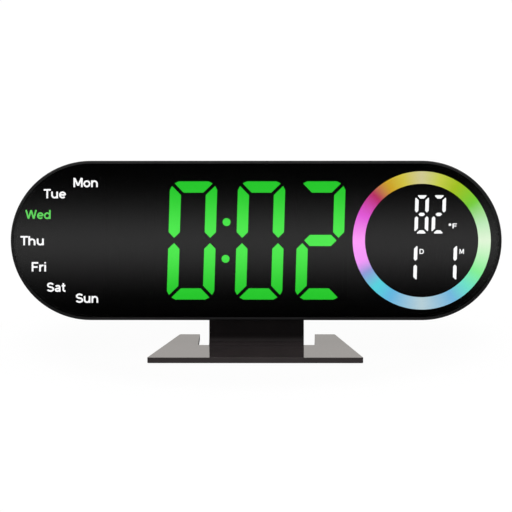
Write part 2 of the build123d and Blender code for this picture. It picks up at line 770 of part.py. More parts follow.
def sector(inner, outer, middle, half_angle):
    """Two opposite pieces of a ring about the battery, each to both sides of its middle angle."""
    pieces = []
    far = 2 * outer
    for turn in (middle, middle + 180):
        corners = [(0, 0)]
        for angle in (turn - half_angle, turn, turn + half_angle):
            corners.append((far * cos(radians(angle)), far * sin(radians(angle))))
        pieces.append(Pos(CELL_X, BATTERY_Z) * ((Circle(outer) - Circle(inner)) & polygon(corners)))
    return pieces


def battery_door():
    """A round cover with a coin slot, held by two lugs under the wall of the rear cover."""
    door = disc(CELL_X, BATTERY_Z, DOOR_RADIUS, DOOR_FRONT, REAR_FACE)
    skirt_outer = DOOR_RADIUS - DOOR_GAP
    skirt = Circle(skirt_outer) - Circle(skirt_outer - SKIRT_THICKNESS)
    door += slab(Pos(CELL_X, BATTERY_Z) * skirt, LUG_FRONT, DOOR_FRONT)
    for lug in sector(skirt_outer - SKIRT_THICKNESS / 2, DOOR_RADIUS + LUG_REACH, 90, LUG_HALF_ANGLE):
        door += slab(lug, LUG_FRONT, LUG_BACK)
    slot = Pos(CELL_X, BATTERY_Z) * SlotOverall(COIN_SLOT_LENGTH, COIN_SLOT_WIDTH)
    return door - slab(slot, REAR_FACE - COIN_SLOT_DEPTH, REAR_FACE)


def coin_cell():
    """The memory battery, with the step of its smaller face towards the front."""
    can = disc(CELL_X, BATTERY_Z, CELL_RADIUS, CELL_FRONT + CELL_STEP, CELL_BACK)
    return can + disc(CELL_X, BATTERY_Z, CELL_RADIUS - 2 * CELL_STEP, CELL_FRONT, CELL_FRONT + CELL_STEP)


def positive_place(room):
    """The strip beside the cell, from the board to its grip on the rim."""
    x = CELL_X + CELL_RADIUS + CONTACT_THICKNESS / 2
    size = (CONTACT_THICKNESS + 2 * room, CONTACT_WIDTH + 2 * room)
    return bar(x, BATTERY_Z, *size, BOARD_BACK, CELL_FRONT + CONTACT_GRIP)


def negative_leg(room):
    """The leg of the strip under the cell, from the board to the floor of the cup."""
    x = CELL_X - CONTACT_REACH
    size = (CONTACT_THICKNESS + 2 * room, CONTACT_WIDTH + 2 * room)
    return bar(x, BATTERY_Z, *size, BOARD_BACK, CELL_FRONT)


def negative_contact():
    """The strip on the floor of the cup, with its leg to the board."""
    x = CELL_X - CONTACT_REACH / 2
    return bar(x, BATTERY_Z, CONTACT_REACH, CONTACT_WIDTH, CUP_FLOOR, CELL_FRONT) + negative_leg(0)


def keyhole(x):
    """A hole for a screw head with a narrow slot above it."""
    slot_top = KEYHOLE_Z + KEYHOLE_RISE
    slot = Rectangle(KEYHOLE_SLOT, KEYHOLE_RISE)
    outline = Pos(x, KEYHOLE_Z) * Circle(KEYHOLE_RADIUS) + Pos(x, (KEYHOLE_Z + slot_top) / 2) * slot
    return outline + Pos(x, slot_top) * Circle(KEYHOLE_SLOT / 2)


def rear_openings():
    """All that is cut through the wall of the rear cover."""
    outlines = [keyhole(-KEYHOLE_SPACING / 2), keyhole(KEYHOLE_SPACING / 2)]
    outlines += [Pos(x, z) * Circle(BUTTON_RADIUS + BUTTON_GAP) for x, z in BUTTON_POINTS]
    outlines.append(power_outline(-POWER_HOLE_GAP))
    outlines.append(Pos(CELL_X, BATTERY_Z) * Circle(DOOR_RADIUS + DOOR_GAP))
    notch_angle = LUG_HALF_ANGLE + NOTCH_SIDE_ANGLE
    outlines += sector(CELL_RADIUS, CUP_RADIUS, 90 - DOOR_TURN, notch_angle)
    for number in range(VENT_COUNT):
        z = SENSOR_Z + VENT_PITCH * (number - (VENT_COUNT - 1) / 2)
        outlines.append(Pos(END_X + SENSOR_X, z) * SlotOverall(VENT_LENGTH, VENT_WIDTH))
    outlines.append(Pos(END_X + BUZZER_X, BUZZER_Z) * Circle(SOUND_HOLE_RADIUS))
    for number in range(SOUND_HOLE_COUNT):
        angle = radians(360 * number / SOUND_HOLE_COUNT)
        x = END_X + BUZZER_X + SOUND_HOLE_CIRCLE * cos(angle)
        z = BUZZER_Z + SOUND_HOLE_CIRCLE * sin(angle)
        outlines.append(Pos(x, z) * Circle(SOUND_HOLE_RADIUS))
    return outlines


def rear_cover():
    """The back shell, with its lip, screw wells, battery cup and openings."""
    cover = slab(pill(0), PARTING, REAR_FACE)
    cover = fillet(cover.faces().sort_by(Axis.Y)[-1].edges(), min(BACK_ROUND, COVER_HEIGHT - FIT))
    cover -= slab(pill(WALL), PARTING, REAR_INNER)

    lip_inset = WALL + LIP_GAP
    lip = slab(pill(lip_inset) - pill(lip_inset + LIP_THICKNESS), PARTING - LIP_HEIGHT, REAR_INNER)
    for x, z in BOSS_POINTS:
        lip -= disc(x, z, BOSS_RADIUS + BOARD_NOTCH_GAP, PARTING - LIP_HEIGHT, PARTING)
    socket_room = 2 * (SOCKET_HALF + BOARD_NOTCH_GAP)
    lip -= bar(0, -END_RADIUS, socket_room, END_RADIUS, PARTING - LIP_HEIGHT, PARTING)
    cover += lip

    for x, z in BOSS_POINTS:
        cover += disc(x, z, COVER_BOSS_RADIUS, PARTING, REAR_INNER)
    cup_front = CUP_FLOOR - CUP_WALL
    cover += disc(CELL_X, BATTERY_Z, CUP_RADIUS + CUP_WALL, cup_front, REAR_INNER)
    cover -= disc(CELL_X, BATTERY_Z, CUP_RADIUS, CUP_FLOOR, REAR_INNER)
    cover -= positive_place(CONTACT_SLOT_GAP)
    cover -= negative_leg(CONTACT_SLOT_GAP)

    for x, z in BOSS_POINTS:
        cover -= disc(x, z, SCREW_RADIUS + FIT, PARTING, REAR_FACE)
        cover -= disc(x, z, SCREW_HEAD_RADIUS + SCREW_HEAD_GAP, SCREW_SEAT, REAR_FACE)
    for outline in rear_openings():
        cover -= slab(outline, REAR_INNER, REAR_FACE)
    return cover


# The stand: the plate lies on its pads, and its tongue turns up at the front edge of the notch
PLATE_TOP = PAD_THICKNESS + PLATE_THICKNESS
NOTCH_FRONT = PLATE_DEPTH / 2 - NOTCH_DEPTH
LEAN_BACK = sin(radians(TILT))
LEAN_UP = cos(radians(TILT))
BEND_END_Y = NOTCH_FRONT + BEND_RADIUS * LEAN_UP
BEND_END_Z = PLATE_TOP + BEND_RADIUS * (1 - LEAN_BACK)


def stand_plate():
    """One sheet: a trapezoid base with a rear notch, and a tongue bent up from the notch."""
    half_depth = PLATE_DEPTH / 2
    corners = [
        (-PLATE_FRONT_WIDTH / 2, -half_depth),
        (PLATE_FRONT_WIDTH / 2, -half_depth),
        (PLATE_REAR_WIDTH / 2, half_depth),
        (-PLATE_REAR_WIDTH / 2, half_depth),
    ]
    base = fillet(Polygon(*corners).vertices(), PLATE_CORNER)
    notch = Pos(0, half_depth) * Rectangle(NOTCH_WIDTH, 2 * NOTCH_DEPTH)
    base -= fillet(notch.vertices(), NOTCH_CORNER)
    plate = Pos(0, 0, PAD_THICKNESS) * extrude(base, amount=PLATE_THICKNESS)
    plate = fillet(plate.faces().sort_by(Axis.Z)[-1].edges(), PLATE_EDGE)

    length = TONGUE_RISE + TONGUE_INSERT
    outer = BEND_RADIUS + PLATE_THICKNESS
    centre = (NOTCH_FRONT, PLATE_TOP + BEND_RADIUS)
    inner_end = (BEND_END_Y, BEND_END_Z)
    outer_end = (centre[0] + outer * LEAN_UP, centre[1] - outer * LEAN_BACK)
    tip_front = (inner_end[0] + length * LEAN_BACK, inner_end[1] + length * LEAN_UP)
    tip_back = (outer_end[0] + length * LEAN_BACK, outer_end[1] + length * LEAN_UP)
    root = NOTCH_FRONT - PLATE_THICKNESS
    outline = [
        Line((root, PLATE_TOP), (root, PAD_THICKNESS)),
        Line((root, PAD_THICKNESS), (NOTCH_FRONT, PAD_THICKNESS)),
        CenterArc(centre, outer, -90, 90 - TILT),
        Line(outer_end, tip_back),
        Line(tip_back, tip_front),
        Line(tip_front, inner_end),
        CenterArc(centre, BEND_RADIUS, -90, 90 - TILT),
        Line((NOTCH_FRONT, PLATE_TOP), (root, PLATE_TOP)),
    ]
    section = Plane.YZ * make_face(outline)
    return plate + extrude(section, amount=TONGUE_WIDTH / 2, both=True)


def stand_pads():
    """Four round pads under the corners of the plate."""
    solids = []
    slope = (PLATE_FRONT_WIDTH - PLATE_REAR_WIDTH) / 2 / PLATE_DEPTH
    for y in (PAD_INSET - PLATE_DEPTH / 2, PLATE_DEPTH / 2 - PAD_INSET):
        edge = (PLATE_FRONT_WIDTH + PLATE_REAR_WIDTH) / 4 - slope * y
        x = edge - (edge - NOTCH_WIDTH / 2) / 2 if y > 0 else edge - PAD_INSET
        for side in (-x, x):
            pad = Cylinder(PAD_RADIUS, PAD_THICKNESS, align=(Align.CENTER, Align.CENTER, Align.MIN))
            solids.append(Pos(side, y, 0) * pad)
    return group(solids)


def clock_pieces():
    """Every piece of the clock by name, drawn upright about the centre of the housing."""
    pieces = {
        "front_housing": front_housing(),
        "front_lens": front_lens(),
        "lens_adhesive": lens_adhesive(),
        "digit_reflector": digit_reflector(),
        "colon_dots": pipes(colon_faces()),
        "unlit_digit_segments": pipes(big_faces(unlit)),
        "ring_carrier": ring_carrier(),
        "ring_light_guide": ring_light_guide(),
        "temperature_segments": pipes(small_faces(TEMPERATURE_DIGITS, list)),
        "date_segments": pipes(small_faces(DATE_DIGITS, list)),
        "unlit_calendar_segments": pipes(small_faces(TEMPERATURE_DIGITS + DATE_DIGITS, unlit)),
        "main_board": main_board(),
        "board_screws": board_screws(),
        "digit_leds": digit_leds(),
        "calendar_leds": calendar_leds(),
        "weekday_leds": weekday_leds(),
        "ring_leds": ring_leds(),
        "controller_chip": bar(0, CHIP_Z, CHIP_SIZE, CHIP_SIZE, BOARD_BACK, BOARD_BACK + CHIP_HEIGHT),
        "led_drivers": led_drivers(),
        "crystal": crystal(),
        "capacitors": capacitors(),
        "buzzer": buzzer(),
        "temperature_sensor": temperature_sensor(),
        "power_socket_shell": power_socket_shell(),
        "power_socket_insert": power_socket_insert(),
        "tact_switches": tact_switches(),
        "rear_cover": rear_cover(),
        "rear_cover_screws": rear_cover_screws(),
        "battery_door": battery_door(),
        "coin_cell": coin_cell(),
        "positive_contact": positive_place(0),
        "negative_contact": negative_contact(),
    }
    for name, x, lit in BIG_DIGITS:
        if lit:
            pieces[f"{name}_segments"] = pipes(faces_of(BIG, SEGMENT_ROUND, lit, x, 0))
    guide_back = -LED_HEIGHT - GUIDE_LED_GAP
    for name, x, z, width in UNIT_GUIDES:
        pieces[f"{name}_light_guide"] = slab(unit_outline(x, z, width, 0), DISPLAY_FACE, guide_back)
    for name, angle, width in WEEKDAYS:
        pieces[f"{name}_light_guide"] = slab(word_outline(angle, width, 0), DISPLAY_FACE, guide_back)
    for name, (x, z) in zip(BUTTON_NAMES, BUTTON_POINTS):
        pieces[f"{name}_button"] = rear_button(x, z)
        pieces[f"{name}_switch_plunger"] = switch_plunger(x, z)
    return pieces


# The housing stands on the tip of the tongue, with the tongue's front face in its slot
UPRIGHT_LENGTH = TONGUE_RISE + END_RADIUS
CLOCK_Y = BEND_END_Y + UPRIGHT_LENGTH * LEAN_BACK - TONGUE_FRONT * LEAN_UP
CLOCK_Z = BEND_END_Z + UPRIGHT_LENGTH * LEAN_UP + TONGUE_FRONT * LEAN_BACK
CLOCK_PLACE = Location((0, CLOCK_Y, CLOCK_Z), (-TILT, 0, 0))


def main():
    """Writes one file for each piece, in the frame of the whole clock."""
    os.makedirs("parts", exist_ok=True)
    for name, shape in clock_pieces().items():
        export_step(CLOCK_PLACE * shape, f"parts/{name}.step")
    export_step(stand_plate(), "parts/stand_plate.step")
    export_step(stand_pads(), "parts/stand_pads.step")
    print(f"housing {BODY_LENGTH:.2f} x {BODY_HEIGHT:.2f} x {REAR_FACE - CREST:.2f}")
    print(f"clock centre y {CLOCK_Y:.3f} z {CLOCK_Z:.3f}, ring {RING_INNER:.2f} to {RING_OUTER:.2f}")


main()
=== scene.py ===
import json
from math import atan2, cos, radians, sin

import bmesh
import bpy
from mathutils import Matrix, Vector


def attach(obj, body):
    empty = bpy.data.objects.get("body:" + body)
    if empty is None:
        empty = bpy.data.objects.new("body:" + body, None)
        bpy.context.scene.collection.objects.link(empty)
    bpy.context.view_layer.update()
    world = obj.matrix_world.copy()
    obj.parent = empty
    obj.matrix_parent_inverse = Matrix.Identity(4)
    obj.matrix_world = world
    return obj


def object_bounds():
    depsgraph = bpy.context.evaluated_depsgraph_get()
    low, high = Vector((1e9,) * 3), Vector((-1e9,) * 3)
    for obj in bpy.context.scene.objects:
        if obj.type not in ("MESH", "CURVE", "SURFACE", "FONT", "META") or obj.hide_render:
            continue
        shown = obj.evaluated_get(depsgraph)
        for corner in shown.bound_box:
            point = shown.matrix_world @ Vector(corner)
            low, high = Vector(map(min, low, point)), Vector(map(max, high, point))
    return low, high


# The looks of a pill-shaped LED desk clock that leans back on a bent plate stand.
# Metres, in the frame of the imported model: the face looks towards -Y, +Z is up.
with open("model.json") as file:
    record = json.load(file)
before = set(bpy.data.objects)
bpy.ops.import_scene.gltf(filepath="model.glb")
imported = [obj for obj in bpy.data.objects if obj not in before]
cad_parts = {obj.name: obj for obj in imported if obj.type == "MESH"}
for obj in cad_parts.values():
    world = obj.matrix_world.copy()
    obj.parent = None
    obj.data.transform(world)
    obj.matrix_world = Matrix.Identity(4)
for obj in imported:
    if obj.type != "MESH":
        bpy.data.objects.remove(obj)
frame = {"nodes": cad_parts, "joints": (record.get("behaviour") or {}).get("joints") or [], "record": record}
cad_low, cad_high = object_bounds()
scene = bpy.context.scene
MM = 0.001

# Camera: how wide the picture is at the face, and where the middle of the clock lands in it
IMAGE_SIZE = 512
PICTURE_WIDTH = 0.27698
CLOCK_PIXEL = (255.95, 240.4)
CAMERA_DISTANCE = 2.5
CAMERA_ELEVATION = 9.9
CAMERA_AZIMUTH = 1.05
SENSOR_WIDTH = 36.0

# Studio: white where a direction looks far enough back or up, dim in front but for one long soft strip
BEHIND_FADE = (-0.35, 0.05)
OVERHEAD_FADE = (0.53, 0.75)
STRIP_LEVEL = 0.64
STRIP_HEIGHT = 0.174
STRIP_SPREAD = 0.085
DIM_LEVEL = 0.008
WARM_LIGHT = (1.0, 0.96, 0.92, 1.0)
WHITE = (1.0, 1.0, 1.0, 1.0)

# Soft box in front and above
LAMP_DISTANCE = 0.9
LAMP_ELEVATION = 53.0
LAMP_WIDTH = 0.7
LAMP_DEPTH = 0.3
LAMP_POWER = 4.8

# Floor: its size, how much of its white is its own, and its paint in the middle and at the rim
FLOOR_RADIUS = 0.16
FLOOR_SEGMENTS = 96
FLOOR_BACK_SHIFT = 0.03
FLOOR_GLOW = 0.96
FLOOR_PAINT = (0.5, 0.5, 0.5, 1.0)
FLOOR_RIM = (0.02, 0.02, 0.02, 1.0)

# Lettering on the display, in light: a weight is a stroke's width where a capital is one high
WORD_HEIGHT = 5.1 * MM
WORD_MARGIN = 0.45 * MM
WORD_WEIGHT = 0.18
UNIT_HEIGHT = 2.7 * MM
UNIT_WIDTH = 2.4 * MM
UNIT_WEIGHT = 0.19
LETTER_PROUD = 0.06 * MM
DEGREE_RADIUS = 0.72 * MM
DEGREE_SEGMENTS = 24
DEGREE_SHIFT = (-1.3 * MM, 0.5 * MM)

# The days, each with how far its word sits right of and above the middle of its light guide
WEEKDAYS = {
    "mon": (0, -0.15 * MM),
    "tue": (0, 0.4 * MM),
    "wed": (-0.25 * MM, 0.25 * MM),
    "thu": (-0.2 * MM, 0.15 * MM),
    "fri": (0, 0.1 * MM),
    "sat": (0, 0.15 * MM),
    "sun": (-0.35 * MM, 0.3 * MM),
}
TODAY = "wed"

# The units, each with its letter and how far that sits right of and above the middle of its guide
UNIT_LETTERS = {
    "day": ("D", (0.15 * MM, 0)),
    "month": ("M", (0.35 * MM, 0)),
    "degree": ("F", (1.25 * MM, -0.15 * MM)),
}

# Printed marks on the back
BUTTONS = ("mode", "set", "up", "down", "alarm")
LABEL_HEIGHT = 2.6 * MM
LABEL_WEIGHT = 0.17
LABEL_GAP = 2.4 * MM
PRINT_PROUD = 0.03 * MM
POINTER_SIZE = 1.7 * MM
POINTER_INSET = 2.6 * MM
MARK_RADIUS = 1.0 * MM
MARK_SEGMENTS = 32
MARK_STROKE = 0.4 * MM
MARK_GAP = 3.6 * MM
DOOR_TURN = 45.0

# The smoked lens, and the diffusers that shine behind it
LENS_TINT = 0.2
LENS_IOR = 1.49
LENS_ROUGHNESS = (0.012, 0.03)
WIPING_GRAINS = 120
LIGHT_GAIN = 5.5
DIFFUSER_ROUGHNESS = 0.5
DIFFUSER_GRAINS = 400
# Half height of the band along the middle of the face where the green glow carries a painted highlight
PAINTED_HIGHLIGHT_REACH = 2 * MM

# The stand's sheet: polished where it lies flat and matt where it stands steep,
# by how far up or down its surface looks
STEEP = 0.45
FLAT = 0.995
MATT_ROUGHNESS = 0.9
POLISH_ROUGHNESS = (0.03, 0.06)
RUBBING_GRAINS = 900
SHEET_MOTTLE_GRAINS = 60
SHEET_IOR = 1.5
SHEET_SPECULAR = 0.33
SHEET_TINT = (1.0, 0.97, 0.95, 1.0)

# Moulded surfaces: how many grains lie across a patch of their colour and of their gloss
COLOUR_PATCH = 12
GLOSS_PATCH = 5
GRAIN_STRENGTH = 0.5

# Plated surfaces: how deep their streaks are, and how strongly they show
STREAK_DEPTH = 0.01 * MM
STREAK_STRENGTH = 0.3

# A noise stays between about these two values
NOISE_LOW = 0.3
NOISE_HIGH = 0.7

# The leaning frame of the clock, from the slide that lifts it off its stand
LIFT = next(joint for joint in frame["joints"] if joint["name"] == "clock_lift")
RIGHT = Vector((1, 0, 0))
UP = Vector(LIFT["axis"]).normalized()
BACK = UP.cross(RIGHT)
FRONT = -BACK
LEAN_TURN = atan2(UP.z, UP.y)


def span(node, axis):
    """How far a node reaches along a direction: its lowest and highest value."""
    along = [vertex.co.dot(axis) for vertex in frame["nodes"][node].data.vertices]
    return min(along), max(along)


def middle(node, axis):
    """The middle of a node along a direction."""
    return sum(span(node, axis)) / 2


def half_reach(node, axis):
    """Half of what a node measures along a direction."""
    low, high = span(node, axis)
    return (high - low) / 2


def place(x, depth, height):
    """A point from how far right, back and up it is in the leaning frame."""
    return RIGHT * x + BACK * depth + UP * height


def standing(point, outward):
    """The turn and place that stand flat work at a point, so that it reads from outside."""
    turn = Matrix((UP.cross(outward), UP, outward)).transposed().to_4x4()
    return Matrix.Translation(point) @ turn


# Places on the clock, in its leaning frame
FACE_HEIGHT = middle("front_housing", UP)
REAR_FACE = span("rear_cover", BACK)[1]
RING_X = middle("ring_light_guide", RIGHT)
DIGIT_REACH = half_reach("hour_segments", UP)


# Node helpers


def linear(red, green, blue):
    """A colour as a screen shows it, 0 to 255, in the linear values of the shaders."""
    values = []
    for level in (red, green, blue):
        share = level / 255
        values.append(share / 12.92 if share <= 0.04045 else ((share + 0.055) / 1.055) ** 2.4)
    return (*values, 1.0)


def new_material(name, values):
    """A material of one shader, with the values that are the same all over set on its own sockets."""
    material = bpy.data.materials.new(name)
    material.use_nodes = True
    shader = material.node_tree.nodes["Principled BSDF"]
    for socket, value in values.items():
        shader.inputs[socket].default_value = value
    return material, material.node_tree, shader


def add_node(tree, kind, **settings):
    """A node with its settings."""
    node = tree.nodes.new(kind)
    for setting, value in settings.items():
        setattr(node, setting, value)
    return node


def feed(tree, socket, value):
    """Links a socket to a socket, or sets a plain value."""
    if isinstance(value, bpy.types.NodeSocket):
        tree.links.new(value, socket)
    else:
        socket.default_value = value


def coordinate(tree, kind):
    """One kind of coordinates of a surface or of the world."""
    return add_node(tree, "ShaderNodeTexCoord").outputs[kind]


def components(tree, vector):
    """The X, Y and Z of a vector."""
    node = add_node(tree, "ShaderNodeSeparateXYZ")
    feed(tree, node.inputs[0], vector)
    return node.outputs


def calculate(tree, operation, first, second=0.0):
    """A math node's result."""
    node = add_node(tree, "ShaderNodeMath", operation=operation)
    feed(tree, node.inputs[0], first)
    feed(tree, node.inputs[1], second)
    return node.outputs[0]


def fade(tree, source, start, end, low=0.0, high=1.0):
    """A smooth step from low to high between two values of a source."""
    node = add_node(tree, "ShaderNodeMapRange", interpolation_type="SMOOTHSTEP")
    for number, value in enumerate((source, start, end, low, high)):
        feed(tree, node.inputs[number], value)
    return node.outputs[0]


def ramp(tree, source, stops):
    """A colour along a row of stops, each a position and a colour."""
    node = add_node(tree, "ShaderNodeValToRGB")
    elements = node.color_ramp.elements
    while len(elements) < len(stops):
        elements.new(0.5)
    for element, (position, colour) in zip(elements, sorted(stops)):
        element.position = position
        element.color = colour
    feed(tree, node.inputs[0], source)
    return node.outputs[0]


def grain(tree, grains, detail=2.0, stretch=(1, 1, 1)):
    """Noise in the piece's own coordinates, with so many grains in a metre."""
    mapping = add_node(tree, "ShaderNodeMapping")
    mapping.inputs["Scale"].default_value = stretch
    feed(tree, mapping.inputs["Vector"], coordinate(tree, "Object"))
    noise = add_node(tree, "ShaderNodeTexNoise")
    noise.inputs["Scale"].default_value = grains
    noise.inputs["Detail"].default_value = detail
    feed(tree, noise.inputs["Vector"], mapping.outputs["Vector"])
    return noise.outputs["Fac"]


def relief(tree, shader, source, height, strength):
    """Bump from a source, so many metres high."""
    bump = add_node(tree, "ShaderNodeBump")
    bump.inputs["Strength"].default_value = strength
    bump.inputs["Distance"].default_value = height
    feed(tree, bump.inputs["Height"], source)
    feed(tree, shader.inputs["Normal"], bump.outputs["Normal"])


def on_the_face(tree, x, height):
    """Coordinates about a point of the leaning face: right, up and out of it."""
    mapping = add_node(tree, "ShaderNodeMapping", vector_type="TEXTURE")
    mapping.inputs["Location"].default_value = place(x, 0, height)
    mapping.inputs["Rotation"].default_value = (LEAN_TURN, 0, 0)
    feed(tree, mapping.inputs["Vector"], coordinate(tree, "Object"))
    return mapping.outputs["Vector"]


# Finishes

NIGHT = linear(5, 5, 5)
BLACK = linear(12, 12, 12)
MILK = linear(150, 150, 150)
GREEN_MILK = linear(20, 90, 24)


def shades(tree, noise, dark, light):
    """A colour that goes from dark to light with a noise."""
    return ramp(tree, noise, [(NOISE_LOW, dark), (NOISE_HIGH, light)])


def uneven(tree, noise, values):
    """A value that goes from the first to the second of two with a noise."""
    return fade(tree, noise, NOISE_LOW, NOISE_HIGH, *values)


def moulded(name, dark, light, roughness, grains, depth, specular=0.5):
    """Moulded plastic or rubber: a mottled colour, uneven gloss and a fine grain."""
    material, tree, shader = new_material(name, {"Specular IOR Level": specular})
    mottle = grain(tree, grains / COLOUR_PATCH, detail=4.0)
    feed(tree, shader.inputs["Base Color"], shades(tree, mottle, dark, light))
    gloss = grain(tree, grains / GLOSS_PATCH, detail=3.0)
    feed(tree, shader.inputs["Roughness"], uneven(tree, gloss, roughness))
    relief(tree, shader, grain(tree, grains), depth, GRAIN_STRENGTH)
    return material


def dark_face(name, roughness):
    """A black face behind the lens that gives back hardly any light."""
    return moulded(name, NIGHT, BLACK, roughness, grains=2000, depth=0.01 * MM, specular=0.1)


def plated(name, dark, light, roughness, grains, stretch):
    """Plated or brushed metal: fine streaks in colour, gloss and relief."""
    material, tree, shader = new_material(name, {"Metallic": 1.0})
    streaks = grain(tree, grains, 3.0, stretch)
    feed(tree, shader.inputs["Base Color"], shades(tree, streaks, dark, light))
    feed(tree, shader.inputs["Roughness"], uneven(tree, streaks, roughness))
    relief(tree, shader, streaks, STREAK_DEPTH, STREAK_STRENGTH)
    return material


def smoked_lens():
    """Smoked acrylic, clear enough for the light behind it, with faint traces of wiping in its gloss."""
    values = {
        "Base Color": (LENS_TINT, LENS_TINT, LENS_TINT, 1.0),
        "IOR": LENS_IOR,
        "Transmission Weight": 1.0,
    }
    material, tree, shader = new_material("smoked_lens", values)
    wiping = grain(tree, WIPING_GRAINS, detail=3.0, stretch=(1, 3, 3))
    feed(tree, shader.inputs["Roughness"], uneven(tree, wiping, LENS_ROUGHNESS))
    return material


def gloss_sheet():
    """The black sheet of the stand, rubbed in its polish and matt on its tongue and cut edges."""
    values = {"IOR": SHEET_IOR, "Specular IOR Level": SHEET_SPECULAR, "Specular Tint": SHEET_TINT}
    material, tree, shader = new_material("gloss_sheet", values)
    mottle = grain(tree, SHEET_MOTTLE_GRAINS, detail=4.0)
    feed(tree, shader.inputs["Base Color"], shades(tree, mottle, linear(46, 42, 43), linear(52, 47, 48)))
    rubbing = grain(tree, RUBBING_GRAINS, detail=3.0, stretch=(1, 6, 1))
    polish = uneven(tree, rubbing, POLISH_ROUGHNESS)
    facing = components(tree, coordinate(tree, "Normal"))
    flatness = calculate(tree, "ABSOLUTE", facing["Z"])
    matt = fade(tree, flatness, STEEP, FLAT, MATT_ROUGHNESS, 0.0)
    feed(tree, shader.inputs["Roughness"], calculate(tree, "ADD", polish, matt))
    return material


def lit(name, colour_of, base):
    """A milky diffuser that glows: a function draws its colour in the tree."""
    values = {"Base Color": base, "Roughness": DIFFUSER_ROUGHNESS, "Emission Strength": LIGHT_GAIN}
    material, tree, shader = new_material(name, values)
    feed(tree, shader.inputs["Emission Color"], colour_of(tree))
    return material


def green_colour(tree):
    """Green glow with a painted highlight: strongest along the middle of the face, falling off to its top
    and bottom.
    """
    where = components(tree, on_the_face(tree, 0, FACE_HEIGHT))
    from_middle = calculate(tree, "ABSOLUTE", where["Y"])
    share = fade(tree, from_middle, PAINTED_HIGHLIGHT_REACH, DIGIT_REACH)
    # The lighter green is a painted highlight along the middle; the darker green is the glow's plain colour
    return ramp(tree, share, [(0.0, linear(66, 228, 66)), (1.0, linear(36, 196, 42))])


def word_colour(tree):
    """A paler green for the lit word, with the faint unevenness of a diffuser."""
    return shades(tree, grain(tree, DIFFUSER_GRAINS), linear(88, 204, 84), linear(96, 210, 92))


def white_colour(tree):
    """White with the faint unevenness of a diffuser."""
    return shades(tree, grain(tree, DIFFUSER_GRAINS), linear(250, 250, 252), linear(255, 255, 255))


# The ring's hues from its right side round by the top, each an angle and a colour,
# and the hue on its left, where the gradient that turns them starts and ends
RING_SEAM = (248, 150, 243)
RING_HUES = {
    "pale_green": (0, (220, 240, 210)),
    "meadow_green": (15, (186, 229, 182)),
    "leaf_green": (36, (110, 200, 48)),
    "lime": (58, (158, 188, 24)),
    "olive": (74, (194, 202, 72)),
    "sand": (90, (204, 198, 146)),
    "straw": (106, (204, 192, 68)),
    "gold": (121, (200, 158, 30)),
    "crimson": (136, (178, 34, 90)),
    "orchid": (158, (220, 82, 212)),
    "lilac": (199, (238, 146, 244)),
    "periwinkle": (210, (136, 150, 210)),
    "turquoise": (225, (80, 208, 218)),
    "azure": (241, (98, 178, 221)),
    "pale_blue": (270, (180, 204, 211)),
    "sky_blue": (298, (112, 178, 218)),
    "aqua": (314, (106, 220, 198)),
    "mint": (331, (128, 235, 144)),
}


def ring_colour(tree):
    """The ring's colours, turned about its centre."""
    turn = add_node(tree, "ShaderNodeTexGradient", gradient_type="RADIAL")
    feed(tree, turn.inputs["Vector"], on_the_face(tree, RING_X, FACE_HEIGHT))
    stops = [((angle / 360 + 0.5) % 1, linear(*colour)) for angle, colour in RING_HUES.values()]
    stops.append((0.0, linear(*RING_SEAM)))
    stops.append((1.0, linear(*RING_SEAM)))
    return ramp(tree, turn.outputs["Fac"], stops)


FINISHES = {
    "housing": moulded(
        "satin_housing", linear(22, 22, 23), linear(26, 26, 27),
        roughness=(0.6, 0.7), grains=2600, depth=0.02 * MM, specular=0.2,
    ),
    "lens": smoked_lens(),
    "tape": moulded("foam_tape", NIGHT, BLACK, roughness=(0.85, 0.95), grains=1500, depth=0.05 * MM),
    "reflector": dark_face("black_face", roughness=(0.7, 0.8)),
    "green_light": lit("green_light", green_colour, GREEN_MILK),
    "white_light": lit("white_light", white_colour, MILK),
    "dark_segment": dark_face("dark_segment", roughness=(0.6, 0.7)),
    "ring_glow": lit("ring_glow", ring_colour, MILK),
    "guide": dark_face("printed_guide", roughness=(0.7, 0.8)),
    "board": moulded(
        "circuit_board", linear(14, 70, 36), linear(20, 92, 48),
        roughness=(0.3, 0.4), grains=1200, depth=0.02 * MM,
    ),
    "led": moulded(
        "led_package", linear(232, 222, 170), linear(244, 238, 205),
        roughness=(0.3, 0.4), grains=1800, depth=0.01 * MM,
    ),
    "component": moulded(
        "moulded_component", linear(28, 28, 29), linear(36, 36, 37),
        roughness=(0.5, 0.6), grains=2600, depth=0.02 * MM,
    ),
    "metal": plated(
        "plated_steel", linear(168, 168, 170), linear(196, 196, 198),
        roughness=(0.28, 0.4), grains=900, stretch=(1, 8, 1),
    ),
    "contact": plated(
        "plated_spring", linear(205, 180, 120), linear(226, 202, 145),
        roughness=(0.3, 0.4), grains=900, stretch=(8, 1, 1),
    ),
    "button": moulded(
        "satin_button", linear(58, 58, 60), linear(66, 66, 68),
        roughness=(0.42, 0.5), grains=2600, depth=0.02 * MM,
    ),
    "stand": gloss_sheet(),
    "pad": moulded(
        "soft_pad", linear(30, 30, 30), linear(44, 44, 44),
        roughness=(0.8, 0.9), grains=1800, depth=0.05 * MM,
    ),
}
GREEN_WORD = lit("green_word", word_colour, GREEN_MILK)
PRINT = moulded(
    "pale_print", linear(176, 176, 178), linear(190, 190, 192),
    roughness=(0.5, 0.6), grains=2600, depth=0.01 * MM,
)

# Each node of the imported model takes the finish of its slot
for subpart in frame["record"]["subparts"]:
    for material_slot in frame["nodes"][subpart["node"]].material_slots:
        material_slot.material = FINISHES[subpart["material_slot"]]


# New pieces

# Points of a shape nearer than this are one point
MERGE_DISTANCE = 1e-7


def make_object(name, shape, material):
    """An object at the origin, with a shape in its mesh and one material."""
    mesh = bpy.data.meshes.new(name)
    shape.to_mesh(mesh)
    shape.free()
    mesh.materials.append(material)
    made = bpy.data.objects.new(name, mesh)
    scene.collection.objects.link(made)
    return made


